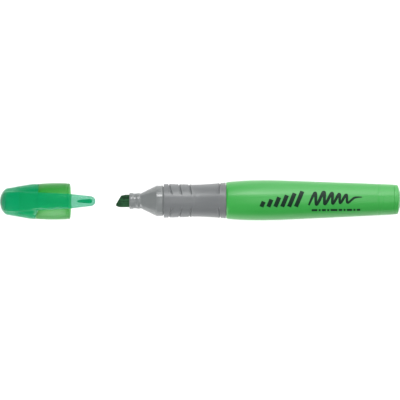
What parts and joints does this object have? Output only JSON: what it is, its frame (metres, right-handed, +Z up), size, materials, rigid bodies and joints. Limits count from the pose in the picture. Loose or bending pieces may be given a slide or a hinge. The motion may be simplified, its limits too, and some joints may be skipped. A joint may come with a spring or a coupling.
{
  "type": "highlighter",
  "caption": "Large pen-shaped highlighter with a bulged barrel, soft waisted grip and slanted nib; its translucent cap with a spring clip slides off the front.",
  "frame": {"origin": "on the surface that the barrel lies on, under the centre of the bounding box", "axes": "+X along the axis from the cap's dome to the end plug, +Z up through the clip"},
  "size_m": [0.184, 0.0184, 0.0199],
  "materials": {
    "barrel_green": "gloss",
    "grip_grey": "satin",
    "nose_grey": "satin",
    "nib_fibre": "matt",
    "reservoir_fibre": "matt",
    "reservoir_film": "gloss",
    "cap_emerald": "gloss",
    "cap_lime": "gloss",
    "cap_seal": "gloss"
  },
  "bodies": {
    "pen": {"barrel": "barrel_green", "end_plug": "barrel_green", "grip_sleeve": "grip_grey", "nose_section": "nose_grey", "nib": "nib_fibre", "reservoir_core": "reservoir_fibre", "reservoir_film": "reservoir_film"},
    "cap": {"cap_crown": "cap_emerald", "cap_sleeve": "cap_lime", "cap_inner_seal": "cap_seal"},
    "clip": {"cap_clip": "cap_emerald"}
  },
  "joints": [
    {"name": "cap_slide", "type": "slide", "parent": "pen", "child": "cap", "axis": [1, 0, 0], "range_m": [0, 0.0428]},
    {"name": "clip_flex", "type": "hinge", "parent": "cap", "child": "clip", "pos_m": [-0.0761, 0, 0.0191], "axis": [0, -1, 0], "range_deg": [0, 5], "stiffness_Nm_per_rad": 1.6}
  ]
}
